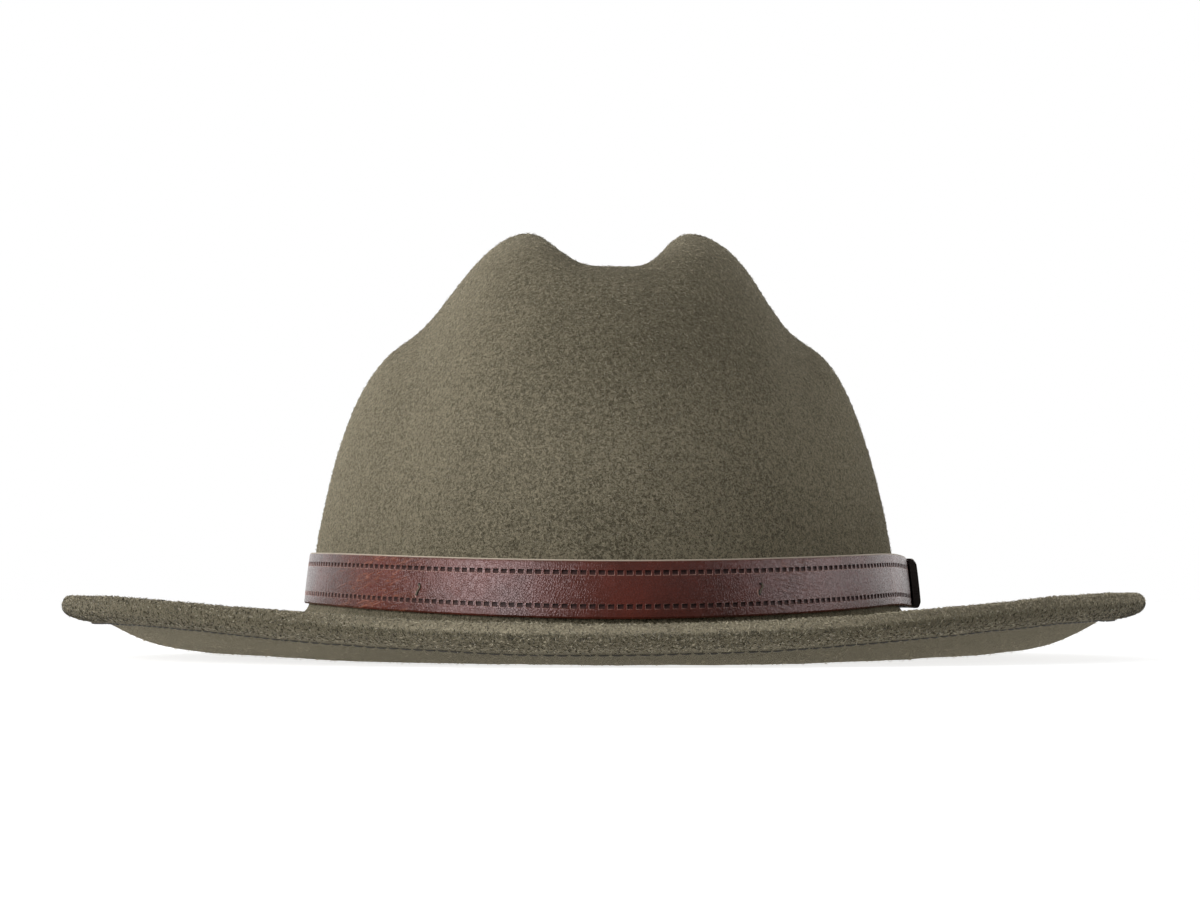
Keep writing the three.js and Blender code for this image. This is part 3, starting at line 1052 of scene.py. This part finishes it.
class FELTHAT_OT_tacks(bpy.types.Operator):
    """Tack the band to the felt: a short knotted thread at each side of the front"""

    bl_idname = "felthat.tacks"
    bl_label = "Thread tacks"

    def execute(self, context):
        settings = context.scene.band_settings
        # Columns: along the band and up it, in mm, from the tack's middle
        thread_line = ((0.05, 1.35), (0.55, 1.0), (0.6, 0.55), (0.1, 0.05), (-0.4, -0.6), (-0.6, -1.3))
        # The lip line is a pale strand laid where a highlight falls beside the lower hole: painted highlight
        lip_line = ((-1.15, -0.3), (-1.25, -1.1), (-1.1, -1.8), (-0.75, -2.1))
        # The holes are dark strands laid where only shade falls: painted shade
        upper_hole = ((-0.05, 1.6), (0.1, 1.1))
        lower_hole = ((-0.3, -0.5), (-0.65, -1.1), (-0.7, -1.6))
        # Columns: side, angle round the hat, height of the tack's middle
        tacks = (("right", -39.8, 0.0195), ("left", 27.1, 0.0197))
        dark = thread_finish("tack hole", settings.tack_hole_shade)
        olive = thread_finish("tack thread", settings.tack_thread)
        pale = thread_finish("tack lip", settings.lip)
        # Columns: part, lines, width in mm, stand-off from the felt in mm, finish
        parts = (
            ("thread", (thread_line,), 0.55, 1.62, olive),
            ("lip", (lip_line,), 0.34, 1.44, pale),
            ("hole", (upper_hole, lower_hole), 1.15, 1.27, dark),
        )
        for side, angle, height in tacks:
            for part, lines, width, stand_off, finish in parts:
                strands = [self.strand(line, width, stand_off, angle, height) for line in lines]
                pick(*strands)
                if len(strands) > 1:
                    bpy.ops.object.join()
                piece = named(f"tack_{part}_{side}")
                hand_over(piece, finish)
        return {"FINISHED"}

    def strand(self, line, width, stand_off, angle, height):
        """A short round thread lying on the strap."""
        bpy.ops.curve.primitive_nurbs_path_add()
        curve = named("strand")
        curve.data.splines.clear()
        route = curve.data.splines.new("NURBS")
        route.points.add(len(line) - 1)
        route.use_endpoint_u = True
        route.order_u = min(4, len(line))
        ahead = Vector(oval_point(angle + 1, 1, 0)) - Vector(oval_point(angle - 1, 1, 0))
        ahead.normalize()
        for point, (along, up) in zip(route.points, line, strict=True):
            x, y = oval_point(angle, dome_share(angle, height + up * MM), stand_off * MM)
            point.co = (x + ahead.x * along * MM, y + ahead.y * along * MM, height + up * MM, 1)
        curve.data.bevel_depth = width * MM / 2
        curve.data.bevel_resolution = 2
        curve.data.use_fill_caps = True
        bpy.ops.object.convert(target="MESH")
        bpy.ops.object.shade_smooth()
        return bpy.context.active_object


class FELTHAT_OT_stage(bpy.types.Operator):
    """Set the pale floor, the soft lights and the camera"""

    bl_idname = "felthat.stage"
    bl_label = "Stage"

    def execute(self, context):
        settings = context.scene.stage_settings
        self.floor(settings)
        self.room_light(context, settings)
        # Columns: name, power, place
        lamps = (
            ("key light", settings.key_power, (-1.08, -0.62, 0.28)),
            ("fill light", settings.fill_power, (1.38, -0.05, 0.26)),
        )
        for name, power, place in lamps:
            self.soft_light(name, power, settings.lamp_width, Vector(place))
        bpy.ops.object.light_add(type="SUN", location=(0, 0, 3))
        top = bpy.context.active_object
        top.name = "top light"
        top.data.energy = settings.top_strength
        top.data.angle = settings.top_spread
        self.camera(context, settings)
        context.scene.view_settings.view_transform = "Standard"
        return {"FINISHED"}

    def floor(self, settings):
        bpy.ops.mesh.primitive_plane_add(size=60)
        floor = named("floor")
        material, recipe = new_finish("pale floor")
        recipe.surface({
            "Base Color": (*settings.floor, 1),
            "Roughness": 0.9,
            "Specular IOR Level": 0.1,
            "Emission Color": (1, 1, 1, 1),
            "Emission Strength": settings.floor_glow,
        })
        floor.data.materials.append(material)

    def room_light(self, context, settings):
        """A white room, brighter behind the hat than in front of it."""
        world = bpy.data.worlds.new("white room")
        world.use_nodes = True
        context.scene.world = world
        recipe = Recipe(world.node_tree)
        direction = recipe.node("ShaderNodeTexCoord", output="Generated")
        towards = {0: direction, 1: (0, 1, -0.5)}
        back = recipe.node("ShaderNodeVectorMath", towards, "Value", operation="DOT_PRODUCT")
        rise = settings.sky_back - settings.sky_front
        strength = back.over(0.2, 0.8) * rise + settings.sky_front
        seen = recipe.node("ShaderNodeLightPath", output="Is Camera Ray")
        strength = strength + (1 - strength) * seen
        white = (1, 1, 1, 1)
        light = recipe.node("ShaderNodeBackground", {"Color": white, "Strength": strength})
        recipe.node("ShaderNodeOutputWorld", {"Surface": light})

    def soft_light(self, name, power, width, place):
        """A square lamp that points at the middle of the hat."""
        bpy.ops.object.light_add(type="AREA", location=place)
        lamp = bpy.context.active_object
        lamp.name = name
        lamp.data.energy = power
        lamp.data.size = width
        lamp.rotation_euler = (HAT_MIDDLE - place).to_track_quat("-Z", "Y").to_euler()

    def camera(self, context, settings):
        turn = settings.camera_turn
        place = Vector((
            -settings.camera_distance * math.sin(turn),
            -settings.camera_distance * math.cos(turn),
            settings.camera_height,
        ))
        heading = -turn + settings.camera_swing
        bpy.ops.object.camera_add(
            location=place, rotation=(math.pi / 2 + settings.camera_tilt, 0, heading)
        )
        camera = bpy.context.active_object
        camera.data.lens = settings.camera_lens
        camera.data.sensor_width = 36
        camera.data.clip_start = 0.05
        context.scene.camera = camera


class FELTHAT_PT_panel(bpy.types.Panel):
    """Buttons for each part of the hat"""

    bl_idname = "FELTHAT_PT_panel"
    bl_label = "Felt Hat"
    bl_space_type = "VIEW_3D"
    bl_region_type = "UI"
    bl_category = "Felt Hat"

    def draw(self, context):
        for operator in OPERATORS:
            self.layout.operator(operator.bl_idname)


OPERATORS = (
    FELTHAT_OT_felt,
    FELTHAT_OT_nap,
    FELTHAT_OT_edge_stitches,
    FELTHAT_OT_band,
    FELTHAT_OT_tacks,
    FELTHAT_OT_stage,
)
SETTINGS = {
    "felt_settings": FeltSettings,
    "seam_settings": SeamSettings,
    "band_settings": BandSettings,
    "stage_settings": StageSettings,
}


def register():
    for kind in (*SETTINGS.values(), *OPERATORS, FELTHAT_PT_panel):
        bpy.utils.register_class(kind)
    for name, kind in SETTINGS.items():
        setattr(bpy.types.Scene, name, bpy.props.PointerProperty(type=kind))


def unregister():
    for name in SETTINGS:
        delattr(bpy.types.Scene, name)
    for kind in (FELTHAT_PT_panel, *reversed(OPERATORS), *reversed(SETTINGS.values())):
        bpy.utils.unregister_class(kind)


def main():
    register()
    bpy.ops.felthat.felt()
    bpy.ops.felthat.nap()
    bpy.ops.felthat.edge_stitches()
    bpy.ops.felthat.band()
    bpy.ops.felthat.tacks()
    bpy.ops.felthat.stage()


if __name__ == "__main__":
    main()
